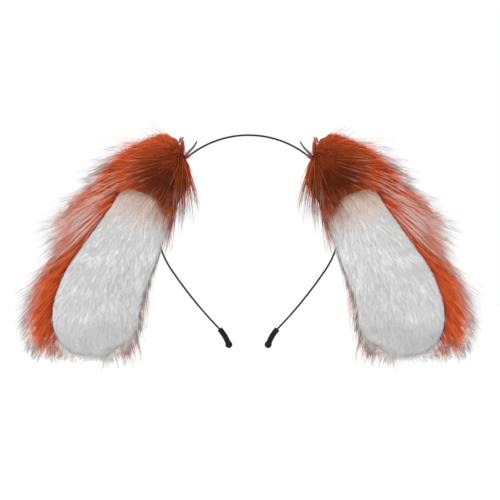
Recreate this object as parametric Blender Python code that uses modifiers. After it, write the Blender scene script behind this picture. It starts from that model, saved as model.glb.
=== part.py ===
"""Animal ears headband: a sprung steel band with two lop ears of long faux fur, each held on it by an alligator clip.

Metres, +Z up, -Y towards the viewer of the ears' white faces. The origin is on the underside of the band's crown,
at the point that rests on top of the head, so everything else hangs below it. Blender 4.5:
blender --background --python part.py
"""

import math

import bmesh
import bpy
from mathutils import Matrix, Vector

MM = 0.001

# Clearances between separate pieces.
GAP = 0.3 * MM
BORE_GAP = 0.2 * MM

# The band: one flat spring-steel strip, bent edge-on to the viewer into arcs that meet tangentially.
BAND_HALF_WIDTH = 60.5 * MM
CROWN_HEIGHT = 57.5 * MM
CROWN_ANGLE = math.radians(40)
SHOULDER_END = math.radians(124)
LEG_LENGTH = 50 * MM
LEG_TURN = math.radians(10)
CURL_RADIUS = 28 * MM
CURL_TURN = math.radians(21)
STRIP_THICKNESS = 1.2 * MM
STRIP_DEPTH = 2.2 * MM
ARC_STEP = math.radians(4)

# The rubber tips pushed over the band's ends.
TIP_RADIUS = 1.85 * MM
TIP_BALL_RADIUS = 2.4 * MM
TIP_LENGTH = 14.5 * MM

# The alligator clips. Their own frames have X from the pin to the jaws, Y away from the head, Z along the pin.
JAW_LENGTH = 26 * MM
PINCH_FROM_PIN = 24 * MM
PINCH_HEADING = math.radians(66)
TOE_IN = math.radians(4)
SKEW = math.radians(18)
SHEET = 0.8 * MM
ARM_KNEE = -3 * MM
ARM_WIDTH = 6.3 * MM
JAW_TIP_WIDTH = 4.0 * MM
OUTER_HANDLE = Vector((-12.9, 5.3)) * MM
INNER_HANDLE = Vector((-14.9, -4.1)) * MM
FLANGE = 0.4 * MM
FLANGE_PLAY = 0.15 * MM
FLANGE_WALL = 1.0 * MM
PIN_RADIUS = 0.6 * MM
PIN_PLAY = 0.12 * MM
FLANGE_ROUND = PIN_RADIUS + PIN_PLAY + FLANGE_WALL
ARM_HALF_SPREAD = FLANGE_ROUND + BORE_GAP + SHEET / 2
PIN_HEAD_RADIUS = 1.05 * MM
PIN_HEAD_THICKNESS = 0.35 * MM
SPRING_WIRE_RADIUS = 0.25 * MM
SPRING_TURNS = 3
SPRING_COIL_RADIUS = PIN_RADIUS + SPRING_WIRE_RADIUS + 0.32 * MM
SPRING_REACH = 5 * MM

# Felt: a pad sewn to the outer arm, which carries the ear, and a strip over the outer handle.
FELT = 1.2 * MM
PAD_LENGTH = 23 * MM
PAD_WIDTH = 13 * MM
PAD_CENTRE = 12.5 * MM
HANDLE_FELT_WIDTH = 4.6 * MM

# The ears. SEAM_Y is the plane of the seam between the white face and the fur.
EAR_LENGTH = 150 * MM
EAR_WIDTH = 72 * MM
SEAM_Y = -11.5 * MM
PLUSH_THICKNESS = 2.0 * MM
PLUSH_BULGE = 5.5 * MM
FULL_DEPTH_WIDTH = 28 * MM
SEAM_PLAY = 1.5 * MM
POUCH_BACK = 3.5 * MM
WIRE_RADIUS = 0.6 * MM
WIRE_FROM_SEAM = 4.8 * MM
BAND_CHANNEL_Y = -3.0 * MM
BAND_CHANNEL_CLEAR = 2.0 * MM
RING_POINTS = 20

# One row for each station down an ear. First the middle line's place, away from the head and up from the clip's
# grip on the band, as shares of the ear's length. Then, as shares of its width, how far the white face reaches
# towards the head and away from it, and how far the fur does. Last, in millimetres, how deep the fur stands in
# front of the seam plane and behind it.
EAR_STATIONS = (
    (-0.031, 0.208, 0.042, 0.042, 0.097, 0.111, 5.0, 12.0),
    (-0.008, 0.155, 0.097, 0.097, 0.215, 0.236, 8.5, 22.0),
    (0.029, 0.075, 0.181, 0.153, 0.306, 0.389, 10.0, 28.0),
    (0.079, -0.032, 0.271, 0.215, 0.361, 0.465, 8.0, 29.0),
    (0.135, -0.152, 0.312, 0.257, 0.368, 0.556, 5.0, 29.0),
    (0.202, -0.285, 0.347, 0.306, 0.389, 0.556, 4.0, 28.0),
    (0.259, -0.419, 0.365, 0.375, 0.403, 0.549, 3.8, 27.0),
    (0.295, -0.552, 0.386, 0.403, 0.424, 0.583, 3.8, 24.0),
    (0.305, -0.652, 0.326, 0.340, 0.368, 0.500, 3.6, 20.0),
    (0.304, -0.715, 0.153, 0.160, 0.208, 0.264, 3.2, 14.0),
)
FACE_START = 3
FACE_TIP = Vector((0.303, -0.736))
FUR_TIP = Vector((0.305, -0.755))
FUR_TOP = Vector((-0.041, 0.231))

SIDES = {"left": -1, "right": 1}


# ---------------------------------------------------------------- scene helpers


def clear_scene():
    for obj in list(bpy.data.objects):
        bpy.data.objects.remove(obj)


def new_collection(name):
    collection = bpy.data.collections.new(name)
    bpy.context.scene.collection.children.link(collection)
    return collection


def new_material(name, colour, roughness, metallic=0.0):
    material = bpy.data.materials.new(name)
    material.use_nodes = True
    shader = material.node_tree.nodes["Principled BSDF"]
    shader.inputs["Base Color"].default_value = (*colour, 1.0)
    shader.inputs["Roughness"].default_value = roughness
    shader.inputs["Metallic"].default_value = metallic
    return material


def add_object(name, data, material=None, parent=None):
    """A part if it has a material, and otherwise a cutter or guide that no render shows."""
    obj = bpy.data.objects.new(name, data)
    if material:
        PARTS.objects.link(obj)
        data.materials.append(material)
    else:
        CUTTERS.objects.link(obj)
        obj.hide_render = True
        obj.display_type = "WIRE"
    obj.parent = parent
    return obj


def to_mesh(obj):
    """Replaces a curve object by a mesh object with its caps welded, so that it can be cut and joined."""
    bpy.context.view_layer.update()
    graph = bpy.context.evaluated_depsgraph_get()
    mesh = bpy.data.meshes.new_from_object(obj.evaluated_get(graph))
    edit = bmesh.new()
    edit.from_mesh(mesh)
    bmesh.ops.remove_doubles(edit, verts=edit.verts, dist=0.001 * MM)
    edit.to_mesh(mesh)
    edit.free()
    solid = bpy.data.objects.new(obj.name, mesh)
    for collection in obj.users_collection:
        collection.objects.link(solid)
    solid.parent = obj.parent
    solid.matrix_world = obj.matrix_world
    solid.hide_render = obj.hide_render
    solid.display_type = obj.display_type
    name = obj.name
    bpy.data.objects.remove(obj)
    solid.name = name
    return solid


def add_boolean(obj, other, operation):
    modifier = obj.modifiers.new(f"{operation.lower()} {other.name}", "BOOLEAN")
    modifier.operation = operation
    modifier.object = other
    return modifier


def add_bevel(obj, width, segments=2):
    modifier = obj.modifiers.new("rounded edges", "BEVEL")
    modifier.width = width
    modifier.segments = segments
    modifier.limit_method = "ANGLE"
    return modifier


def smooth(mesh, sharp_angle=40):
    mesh.shade_smooth()
    mesh.set_sharp_from_angle(angle=math.radians(sharp_angle))


# ---------------------------------------------------------------- shapes


def wire_curve(name, points, radius, material, sides=8, radii=None, closed=False, parent=None):
    """A round wire or tube through the points, with filled ends."""
    curve = bpy.data.curves.new(name, "CURVE")
    curve.dimensions = "3D"
    curve.bevel_depth = radius
    curve.bevel_resolution = sides // 2 - 2
    curve.use_fill_caps = not closed
    spline = curve.splines.new("POLY")
    spline.points.add(len(points) - 1)
    spline.use_cyclic_u = closed
    for index, point in enumerate(points):
        spline.points[index].co = (*point, 1.0)
        spline.points[index].radius = radii[index] / radius if radii else 1.0
    return add_object(name, curve, material, parent)


def flat_outline(name, outline, thickness, material=None, parent=None):
    """A closed outline in the local XY plane, thickened equally to both sides along Z."""
    curve = bpy.data.curves.new(name, "CURVE")
    curve.dimensions = "2D"
    curve.fill_mode = "BOTH"
    curve.extrude = thickness / 2
    spline = curve.splines.new("POLY")
    spline.points.add(len(outline) - 1)
    spline.use_cyclic_u = True
    for index, point in enumerate(outline):
        spline.points[index].co = (point[0], point[1], 0.0, 1.0)
    return to_mesh(add_object(name, curve, material, parent))


def box(name, low, high, parent=None):
    """A cutter from one corner to the opposite one, in its parent's frame."""
    edit = bmesh.new()
    middle = (Vector(low) + Vector(high)) / 2
    size = Vector(high) - Vector(low)
    bmesh.ops.create_cube(edit, size=1.0, matrix=Matrix.Translation(middle) @ Matrix.Diagonal((*size, 1.0)))
    mesh = bpy.data.meshes.new(name)
    edit.to_mesh(mesh)
    edit.free()
    return add_object(name, mesh, parent=parent)


def cylinder(name, radius, length, segments, matrix, material=None, parent=None):
    """A cylinder along the Z axis of the matrix, centred on it."""
    edit = bmesh.new()
    bmesh.ops.create_cone(
        edit, cap_ends=True, segments=segments, radius1=radius, radius2=radius, depth=length, matrix=matrix
    )
    mesh = bpy.data.meshes.new(name)
    edit.to_mesh(mesh)
    edit.free()
    smooth(mesh)
    return add_object(name, mesh, material, parent)


def arc(centre, radius, start, end, steps):
    """Points of a circular arc in a plane, from one angle to another."""
    angles = [start + (end - start) * step / steps for step in range(steps + 1)]
    return [Vector((centre[0] + radius * math.cos(a), centre[1] + radius * math.sin(a))) for a in angles]


def strip_outline(line, thickness):
    """The closed outline of a sheet that is bent along an open line of points in a plane."""
    upper, lower = [], []
    for index, point in enumerate(line):
        before = line[max(index - 1, 0)]
        after = line[min(index + 1, len(line) - 1)]
        along = (after - before).normalized()
        across = Vector((-along.y, along.x)) * thickness / 2
        upper.append(point + across)
        lower.append(point - across)
    return upper + lower[::-1]


def loft(name, rings, start, end, material=None):
    """A closed skin through rings with the same number of points, drawn to a point at each end and smoothed."""
    edit = bmesh.new()
    loops = [[edit.verts.new(point) for point in ring] for ring in rings]
    for one, other in zip(loops, loops[1:]):
        for index in range(len(one)):
            following = (index + 1) % len(one)
            edit.faces.new((one[index], one[following], other[following], other[index]))
    for loop, point in ((loops[0], start), (loops[-1], end)):
        pole = edit.verts.new(point)
        for index in range(len(loop)):
            edit.faces.new((loop[index], loop[(index + 1) % len(loop)], pole))
    bmesh.ops.recalc_face_normals(edit, faces=edit.faces)
    mesh = bpy.data.meshes.new(name)
    edit.to_mesh(mesh)
    edit.free()
    mesh.shade_smooth()
    return add_object(name, mesh, material)


# ---------------------------------------------------------------- the band and its tips


def band_radii():
    """The crown's and the shoulders' radii that give the band its width and the height of its crown."""
    sine, cosine = math.sin(CROWN_ANGLE), math.cos(CROWN_ANGLE)
    # sine * crown + (1 - sine) * shoulder = half width, and (1 - cosine) * crown + cosine * shoulder = height
    determinant = sine * cosine - (1 - sine) * (1 - cosine)
    crown = (BAND_HALF_WIDTH * cosine - (1 - sine) * CROWN_HEIGHT) / determinant
    shoulder = (sine * CROWN_HEIGHT - (1 - cosine) * BAND_HALF_WIDTH) / determinant
    return crown, shoulder


def band_arcs():
    """Each arc of one side from the crown down, as its signed radius and the headings that it runs between.

    A heading is the angle of the line below horizontal, so 90 degrees runs straight down.
    """
    crown, shoulder = band_radii()
    leg_end = SHOULDER_END + LEG_TURN
    return (
        (crown, 0.0, CROWN_ANGLE),
        (shoulder, CROWN_ANGLE, SHOULDER_END),
        (LEG_LENGTH / LEG_TURN, SHOULDER_END, leg_end),
        (-CURL_RADIUS, leg_end, leg_end - CURL_TURN),
    )


def walk_band():
    """(distance, x, z, heading) along one side of the strip's middle line, from the crown to its end."""
    x, z, distance = 0.0, STRIP_THICKNESS / 2, 0.0
    stations = [(distance, x, z, 0.0)]
    for radius, start, end in band_arcs():
        step = min(ARC_STEP, 12 * MM / abs(radius))
        steps = math.ceil(abs(end - start) / step)
        for index in range(steps):
            one = start + (end - start) * index / steps
            two = start + (end - start) * (index + 1) / steps
            x += radius * (math.sin(two) - math.sin(one))
            z += radius * (math.cos(two) - math.cos(one))
            distance += abs(radius * (two - one))
            stations.append((distance, x, z, two))
    return stations


def shoulder_centre():
    crown, shoulder = band_radii()
    x = (crown - shoulder) * math.sin(CROWN_ANGLE)
    z = STRIP_THICKNESS / 2 - crown + (crown - shoulder) * math.cos(CROWN_ANGLE)
    return x, z


def shoulder_point(heading):
    """The strip's middle line on the shoulder arc, where it runs at this heading."""
    x, z = shoulder_centre()
    radius = band_radii()[1]
    return x + radius * math.sin(heading), z + radius * math.cos(heading)


def strip(name, line, clearance, material=None):
    """A flat strip with round edges along a line in the XZ plane, its width along Y."""
    curve = bpy.data.curves.new(name, "CURVE")
    curve.dimensions = "3D"
    curve.twist_mode = "Z_UP"
    curve.fill_mode = "FULL"
    curve.bevel_depth = STRIP_THICKNESS / 2 + clearance
    curve.bevel_resolution = 2
    curve.extrude = (STRIP_DEPTH - STRIP_THICKNESS) / 2
    curve.use_fill_caps = True
    spline = curve.splines.new("POLY")
    spline.points.add(len(line) - 1)
    for index, (x, z) in enumerate(line):
        spline.points[index].co = (x, z, 0.0, 1.0)
    obj = add_object(name, curve, material)
    obj.rotation_euler = (math.radians(90), 0.0, 0.0)
    return obj


def make_band():
    half = [(x, z) for _, x, z, _ in walk_band()]
    line = [(-x, z) for x, z in half[:0:-1]] + half
    band = to_mesh(strip("headband", line, 0.0, STEEL_BLACK))
    smooth(band.data, 50)
    return band


def tip_radius(distance):
    """The rubber tip's outer radius at a distance from its mouth: a tube that swells into a ball."""
    ball = TIP_LENGTH - TIP_BALL_RADIUS
    if distance > ball - TIP_BALL_RADIUS:
        height = math.sqrt(max(TIP_BALL_RADIUS**2 - (distance - ball) ** 2, 0.0))
        return max(height, TIP_RADIUS) if distance < ball else height
    return TIP_RADIUS


def make_tip(side):
    """A rubber tip that follows the band's curl, with a blind slot that the strip fills."""
    name, sign = side + "_end_tip", SIDES[side]
    stations = walk_band()
    band_end, end_x, end_z, heading = stations[-1]
    mouth = band_end - TIP_LENGTH + 2 * TIP_BALL_RADIUS
    ahead = Vector((math.cos(heading), -math.sin(heading)))
    steps = 20
    line, radii = [], []
    for index in range(steps + 1):
        # Points crowd towards the closed end, where the ball rounds over.
        distance = TIP_LENGTH * math.sin(math.pi / 2 * index / steps)
        along = mouth + distance
        if along >= band_end:
            place = Vector((end_x, end_z)) + ahead * (along - band_end)
        else:
            after = next(i for i, station in enumerate(stations) if station[0] > along)
            one, two = stations[after - 1], stations[after]
            share = (along - one[0]) / (two[0] - one[0])
            place = Vector(one[1:3]).lerp(Vector(two[1:3]), share)
        line.append((sign * place.x, 0.0, place.y))
        radii.append(max(tip_radius(distance), 0.12 * MM))
    tip = to_mesh(wire_curve(name, line, TIP_RADIUS, RUBBER_BLACK, sides=12, radii=radii))
    smooth(tip.data)
    inside = [(sign * x, z) for distance, x, z, _ in stations if distance > mouth - 6 * MM]
    reach = Vector((end_x, end_z)) + ahead * BORE_GAP
    inside.append((sign * reach.x, reach.y))
    add_boolean(tip, to_mesh(strip(name + "_slot", inside, BORE_GAP)), "DIFFERENCE")
    return tip


# ---------------------------------------------------------------- the clips


def clip_frame(side):
    """The clip's frame as a matrix: the pin's middle, X to the jaws, Y away from the head, Z along the pin."""
    sign = SIDES[side]
    heading = PINCH_HEADING - TOE_IN
    x, z = shoulder_point(PINCH_HEADING)
    along = Vector((sign * math.cos(heading), 0.0, -math.sin(heading)))
    jaws = (along * math.cos(SKEW) + Vector((0.0, -1.0, 0.0)) * math.sin(SKEW)).normalized()
    outward = Vector((sign * math.sin(heading), 0.0, math.cos(heading)))
    pin = Vector((sign * x, 0.0, z)) - jaws * PINCH_FROM_PIN
    lateral = jaws.cross(outward)
    turned = Matrix((jaws, outward, lateral)).transposed().to_4x4()
    return Matrix.Translation(pin) @ turned


def clip_empty(side):
    empty = bpy.data.objects.new(side + "_clip_pivot", None)
    empty.empty_display_size = 5 * MM
    empty.matrix_world = clip_frame(side)
    PARTS.objects.link(empty)
    return empty


def arm_line(handle, direction):
    """The middle line of an arm's sheet from its jaw to its handle. direction is 1 for the outer arm."""
    pinch = STRIP_THICKNESS / 2 + GAP + SHEET / 2 + 0.1 * MM
    knee = Vector((ARM_KNEE, direction * ARM_HALF_SPREAD))
    bend = handle.lerp(knee, 0.3)
    return [
        Vector((JAW_LENGTH, direction * (pinch - 0.1 * MM))),
        Vector((JAW_LENGTH - 1.5 * MM, direction * (pinch - 0.1 * MM))),
        Vector((JAW_LENGTH - 7 * MM, direction * pinch)),
        Vector((JAW_LENGTH / 2, direction * ARM_HALF_SPREAD)),
        Vector((3.0 * MM, direction * ARM_HALF_SPREAD)),
        knee,
        Vector((bend.x, bend.y + direction * 0.4 * MM)),
        handle,
    ]


def arm_plan(width):
    """Half the arm's width along its length: straight at the pin, drawn in to the jaw's tip."""
    tip, heel = JAW_TIP_WIDTH / 2, width / 2
    back = INNER_HANDLE.x - 3 * MM
    side = [
        Vector((JAW_LENGTH + 1 * MM, tip - 0.8 * MM)),
        Vector((JAW_LENGTH - 0.6 * MM, tip)),
        Vector((4 * MM, heel)),
        Vector((-4 * MM, heel)),
        Vector((back, heel - 0.4 * MM)),
    ]
    return side + [Vector((point.x, -point.y)) for point in reversed(side)]


def flange_outline(direction):
    """A tab from the sheet down over the pin, with a round end."""
    start = 0.0 if direction < 0 else math.pi
    round_end = arc((0.0, 0.0), FLANGE_ROUND, start, start + math.pi, 10)
    if direction < 0:
        root = [Vector((-2.4 * MM, -ARM_HALF_SPREAD)), Vector((2.4 * MM, -ARM_HALF_SPREAD))]
    else:
        root = [Vector((2.4 * MM, ARM_HALF_SPREAD)), Vector((-2.4 * MM, ARM_HALF_SPREAD))]
    return round_end + root


def make_arm(name, empty, handle, direction, width):
    """One bent sheet with two flanges over the pin. The plan trims the sheet and the flanges to the same width."""
    spare = 1 * MM
    sheet = strip_outline(arm_line(handle, direction), SHEET)
    arm = flat_outline(name, sheet, width + 2 * spare, STEEL_CLIP, empty)
    for number, lateral in enumerate((-1, 1)):
        thickness = FLANGE + spare
        flange = flat_outline(f"{name}_flange_{number}", flange_outline(direction), thickness, parent=empty)
        flange.location.z = lateral * (width / 2 - FLANGE + thickness / 2)
        add_boolean(arm, flange, "UNION")
    plan = flat_outline(name + "_plan", arm_plan(width), 40 * MM, parent=empty)
    plan.rotation_euler = (math.radians(90), 0.0, 0.0)
    add_boolean(arm, plan, "INTERSECT")
    hole = cylinder(name + "_hole", PIN_RADIUS + PIN_PLAY, 2 * ARM_WIDTH, 24, Matrix.Identity(4), parent=empty)
    add_boolean(arm, hole, "DIFFERENCE")
    return arm


def make_teeth(arm, empty, direction):
    """Three saw teeth across each jaw's tip, cut as notches into its gripping face."""
    pinch = STRIP_THICKNESS / 2 + GAP
    for number in range(3):
        reach = JAW_LENGTH - (1.0 + 1.3 * number) * MM
        turned = Matrix.Translation((reach, direction * pinch, 0.0)) @ Matrix.Rotation(math.radians(45), 4, "Z")
        edit = bmesh.new()
        bmesh.ops.create_cube(edit, size=1.0, matrix=turned @ Matrix.Diagonal((0.5 * MM, 0.5 * MM, 8 * MM, 1.0)))
        mesh = bpy.data.meshes.new(f"{arm.name}_notch_{number}")
        edit.to_mesh(mesh)
        edit.free()
        add_boolean(arm, add_object(mesh.name, mesh, parent=empty), "DIFFERENCE")


def make_pin(side, empty):
    """The pin with a head pressed over each end."""
    name = side + "_clip_pin"
    span = ARM_WIDTH + 2 * BORE_GAP
    pin = cylinder(name, PIN_RADIUS, span + PIN_HEAD_THICKNESS, 20, Matrix.Identity(4), STEEL_CLIP, empty)
    for number, lateral in enumerate((-1, 1)):
        place = Matrix.Translation((0.0, 0.0, lateral * (span + PIN_HEAD_THICKNESS) / 2))
        head = cylinder(f"{name}_head_{number}", PIN_HEAD_RADIUS, PIN_HEAD_THICKNESS, 20, place, parent=empty)
        add_boolean(pin, head, "UNION")
    return pin


def spring_leg(handle, direction):
    """The bend and the end of the spring's leg under a handle, and the coil's angle where that leg leaves it."""
    knee = Vector((ARM_KNEE, direction * ARM_HALF_SPREAD))
    along = (handle - knee).normalized()
    inwards = Vector((-along.y, along.x)) * direction
    bend = knee + inwards * (SHEET / 2 + GAP + SPRING_WIRE_RADIUS)
    leaving = math.atan2(bend.y, bend.x) - direction * math.acos(SPRING_COIL_RADIUS / bend.length)
    return bend, bend + along * SPRING_REACH, leaving


def make_spring(side, empty):
    """A torsion spring wound round the pin, with a leg under each handle."""
    inner_bend, inner_end, start = spring_leg(INNER_HANDLE, -1)
    outer_bend, outer_end, end = spring_leg(OUTER_HANDLE, 1)
    end += math.tau * SPRING_TURNS
    pitch = 2 * SPRING_WIRE_RADIUS + 0.16 * MM
    steps = 14 * SPRING_TURNS
    coil = []
    for index in range(steps + 1):
        share = index / steps
        angle = start + (end - start) * share
        lateral = pitch * SPRING_TURNS * (share - 0.5)
        coil.append(Vector((math.cos(angle), math.sin(angle), 0.0)) * SPRING_COIL_RADIUS + Vector((0.0, 0.0, lateral)))
    inner_leg = [(*inner_end, coil[0].z), (*inner_bend, coil[0].z)]
    outer_leg = [(*outer_bend, coil[-1].z), (*outer_end, coil[-1].z)]
    points = inner_leg + coil + outer_leg
    return wire_curve(side + "_clip_spring", points, SPRING_WIRE_RADIUS, STEEL_SPRING, parent=empty)


def make_felts(side, empty):
    """The ear's felt pad on the outer arm, and the strip that covers the outer handle."""
    over_arm = ARM_HALF_SPREAD + SHEET / 2 + GAP
    oval = [
        Vector((PAD_CENTRE + PAD_LENGTH / 2 * math.cos(a), PAD_WIDTH / 2 * math.sin(a)))
        for a in (math.tau * index / 32 for index in range(32))
    ]
    pad = flat_outline(side + "_ear_base_felt", oval, FELT, FELT_RUST, empty)
    pad.rotation_euler = (math.radians(90), 0.0, 0.0)
    pad.location.y = over_arm + FELT / 2
    line = arm_line(OUTER_HANDLE, 1)[-2:]
    along = (line[1] - line[0]).normalized()
    away = Vector((along.y, -along.x)) * (SHEET / 2 + GAP + FELT / 2)
    cover = [line[0] + away, line[1] + away - along * 0.6 * MM]
    outline = strip_outline(cover, FELT)
    flat_outline(side + "_handle_felt", outline, HANDLE_FELT_WIDTH, FELT_RUST, empty)
    return pad


def make_clip(side):
    empty = clip_empty(side)
    outer = make_arm(side + "_clip_outer_arm", empty, OUTER_HANDLE, 1, ARM_WIDTH)
    inner_width = ARM_WIDTH - 2 * (FLANGE + FLANGE_PLAY)
    inner = make_arm(side + "_clip_inner_arm", empty, INNER_HANDLE, -1, inner_width)
    make_teeth(outer, empty, 1)
    make_teeth(inner, empty, -1)
    make_pin(side, empty)
    make_spring(side, empty)
    make_felts(side, empty)
    return empty


# ---------------------------------------------------------------- the ears


def ear_point(shares):
    """A place on an ear at +X, from its shares of the ear's length out and up from the clip's grip."""
    return Vector(shoulder_point(PINCH_HEADING)) + Vector(shares) * EAR_LENGTH


def ear_section(index):
    """The middle point, the direction away from the head, and the sizes at a station, for an ear at +X."""
    rows = EAR_STATIONS
    before = Vector(rows[max(index - 1, 0)][:2])
    after = Vector(rows[min(index + 1, len(rows) - 1)][:2])
    along = (after - before).normalized()
    reaches = [share * EAR_WIDTH for share in rows[index][2:6]]
    depths = [depth * MM for depth in rows[index][6:]]
    return ear_point(rows[index][:2]), Vector((-along.y, along.x)), reaches + depths


def ear_place(side, middle, across, reach, y):
    """A point of an ear, from its distance across a station and its depth."""
    place = middle + across * reach
    return Vector((SIDES[side] * place.x, y, place.y))


def ring_points(side, index, reach_in, reach_out, front, back, back_share=None):
    """A closed oval ring round a station, with its widest part in the seam plane."""
    middle, across, _ = ear_section(index)
    centre, half = (reach_out - reach_in) / 2, (reach_out + reach_in) / 2
    points = []
    for step in range(RING_POINTS):
        angle = math.tau * step / RING_POINTS
        cosine, sine = math.cos(angle), math.sin(angle)
        depth = back * (back_share(cosine) if back_share else 1.0) if sine > 0 else front
        points.append(ear_place(side, middle, across, centre + half * cosine, SEAM_Y + depth * sine))
    return points


def fur_back_share(cosine):
    """The fur behind the seam is thin towards the head, where the band passes, and full on the far side."""
    return 0.34 + 0.66 * ((1 + cosine) / 2) ** 0.7


def add_subdivision(obj, levels=1):
    modifier = obj.modifiers.new("smooth form", "SUBSURF")
    modifier.levels = levels
    modifier.render_levels = levels
    return modifier


def in_seam(side, point):
    """A point of the seam plane, from its distance from the head's middle plane and its height."""
    return Vector((SIDES[side] * point.x, SEAM_Y, point.y))


def pouch_rings(side, inset, front, back, first=0):
    """Rings round the sewn pouch, drawn in from the seam by inset, and shallower where the ear is narrow."""
    rings = []
    for index in range(first, len(EAR_STATIONS)):
        face_in, face_out = ear_section(index)[2][:2]
        reach_in, reach_out = max(face_in - inset, 1 * MM), max(face_out - inset, 1 * MM)
        share = min(1.0, (face_in + face_out) / FULL_DEPTH_WIDTH)
        rings.append(ring_points(side, index, reach_in, reach_out, front * share, back * share))
    return rings


def make_fur(side, empty):
    """The long-pile back of an ear, which closes over its front near the band, as far as the pile stands dense."""
    rings = []
    for index in range(len(EAR_STATIONS)):
        _, _, (_, _, fur_in, fur_out, front, back) = ear_section(index)
        rings.append(ring_points(side, index, fur_in, fur_out, front, back, fur_back_share))
    top, tip = in_seam(side, ear_point(FUR_TOP)), in_seam(side, ear_point(FUR_TIP))
    fur = loft(side + "_ear_fur", rings, top, tip, FUR_RUST)
    add_subdivision(fur)
    name = fur.name
    # The pouch behind the white face, and the opening in front that the face closes.
    face_tip = in_seam(side, ear_point(FACE_TIP) - Vector((0.0, SEAM_PLAY)))
    pocket_top = in_seam(side, ear_point(FUR_TOP).lerp(ear_section(1)[0], 0.7))
    rings = pouch_rings(side, -GAP, PLUSH_BULGE - PLUSH_THICKNESS, POUCH_BACK + GAP, first=1)
    pocket = loft(name + "_pocket", rings, pocket_top, face_tip)
    add_subdivision(pocket)
    rings = pouch_rings(side, -SEAM_PLAY, 4 * PLUSH_BULGE, GAP, first=FACE_START)
    up = (in_seam(side, ear_section(FACE_START - 1)[0]) - in_seam(side, ear_section(FACE_START)[0])).normalized()
    rings.insert(0, [point + up * SEAM_PLAY for point in rings[0]])
    face_top = sum(rings[0], Vector()) / RING_POINTS + up * SEAM_PLAY
    face = loft(name + "_face_opening", rings, face_top, face_tip)
    add_subdivision(face)
    add_boolean(fur, pocket, "DIFFERENCE")
    add_boolean(fur, face, "DIFFERENCE")
    # Nothing of the ear may stand in the way of the band, along which the clip slides.
    x, z = shoulder_centre()
    reach = band_radii()[1] + STRIP_THICKNESS / 2 + BAND_CHANNEL_CLEAR
    depth = 60 * MM
    middle = Vector((SIDES[side] * x, BAND_CHANNEL_Y + depth / 2, z))
    turned = Matrix.Translation(middle) @ Matrix.Rotation(math.radians(90), 4, "X")
    add_boolean(fur, cylinder(name + "_band_channel", reach, depth, 96, turned), "DIFFERENCE")
    half, pad_half = ARM_WIDTH / 2 + 1.3 * MM, PAD_WIDTH / 2 + GAP
    pad_top = ARM_HALF_SPREAD + SHEET / 2 + 2 * GAP + FELT
    handle_top = OUTER_HANDLE.y + SHEET / 2 + FELT + 1.8 * MM
    low = -30 * MM
    arms = box(name + "_clip_space", (-1 * MM, low, -half), (JAW_LENGTH + 2 * MM, pad_top - 1 * MM, half), empty)
    handles = box(name + "_handle_space", (-26 * MM, low, -half), (1 * MM, handle_top, half), empty)
    pad = box(
        name + "_pad_space",
        (PAD_CENTRE - PAD_LENGTH / 2 - GAP, low, -pad_half),
        (PAD_CENTRE + PAD_LENGTH / 2 + GAP, pad_top, pad_half),
        empty,
    )
    for cutter in (arms, handles, pad):
        add_boolean(fur, cutter, "DIFFERENCE")
    return fur


def make_plush(side):
    """The short-pile white face: an open crowned sheet, thickened inwards."""
    edit = bmesh.new()
    rows = []
    shares = [math.cos(math.pi * step / 12) for step in range(13)]
    for index in range(FACE_START, len(EAR_STATIONS)):
        middle, across, sizes = ear_section(index)
        face_in, face_out = sizes[:2]
        centre, half = (face_out - face_in) / 2, (face_out + face_in) / 2
        bulge = PLUSH_BULGE * min(1.0, 2 * half / FULL_DEPTH_WIDTH)
        row = []
        for share in shares:
            crown = math.sqrt(max(1 - share * share, 0.0)) ** 0.8
            row.append(edit.verts.new(ear_place(side, middle, across, centre + half * share, SEAM_Y - bulge * crown)))
        rows.append(row)
    for one, other in zip(rows, rows[1:]):
        for index in range(len(one) - 1):
            edit.faces.new((one[index], one[index + 1], other[index + 1], other[index]))
    tip = edit.verts.new(in_seam(side, ear_point(FACE_TIP)))
    for index in range(len(rows[-1]) - 1):
        edit.faces.new((rows[-1][index], rows[-1][index + 1], tip))
    bmesh.ops.recalc_face_normals(edit, faces=edit.faces)
    edit.faces.ensure_lookup_table()
    if edit.faces[len(edit.faces) // 2].normal.y > 0:
        bmesh.ops.reverse_faces(edit, faces=edit.faces)
    mesh = bpy.data.meshes.new(side + "_ear_plush")
    edit.to_mesh(mesh)
    edit.free()
    mesh.shade_smooth()
    plush = add_object(mesh.name, mesh, PLUSH_WHITE)
    add_subdivision(plush)
    shell = plush.modifiers.new("pile and backing", "SOLIDIFY")
    shell.thickness = PLUSH_THICKNESS
    shell.offset = -1.0
    shell.use_rim = True
    # Behind the seam plane the fur begins, and above the opening the fur's front covers the face's edge.
    behind = box(
        plush.name + "_behind",
        (-200 * MM, SEAM_Y - GAP, -200 * MM),
        (200 * MM, 60 * MM, 60 * MM),
    )
    add_boolean(plush, behind, "DIFFERENCE")
    return plush


def make_filling(side):
    """The fibre filling between the white face and the fur's backing."""
    inset = WIRE_FROM_SEAM + WIRE_RADIUS + GAP
    front = PLUSH_BULGE - PLUSH_THICKNESS - 1.1 * MM
    rings = pouch_rings(side, inset, front, POUCH_BACK - 3 * GAP, first=1)[:-1]
    first, last = (sum(ring, Vector()) / RING_POINTS for ring in (rings[0], rings[-1]))
    start = first + Vector((0.0, 0.0, 2 * MM))
    end = last - Vector((0.0, 0.0, 5 * MM))
    return loft(side + "_ear_filling", rings, start, end, FILLING)


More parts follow.
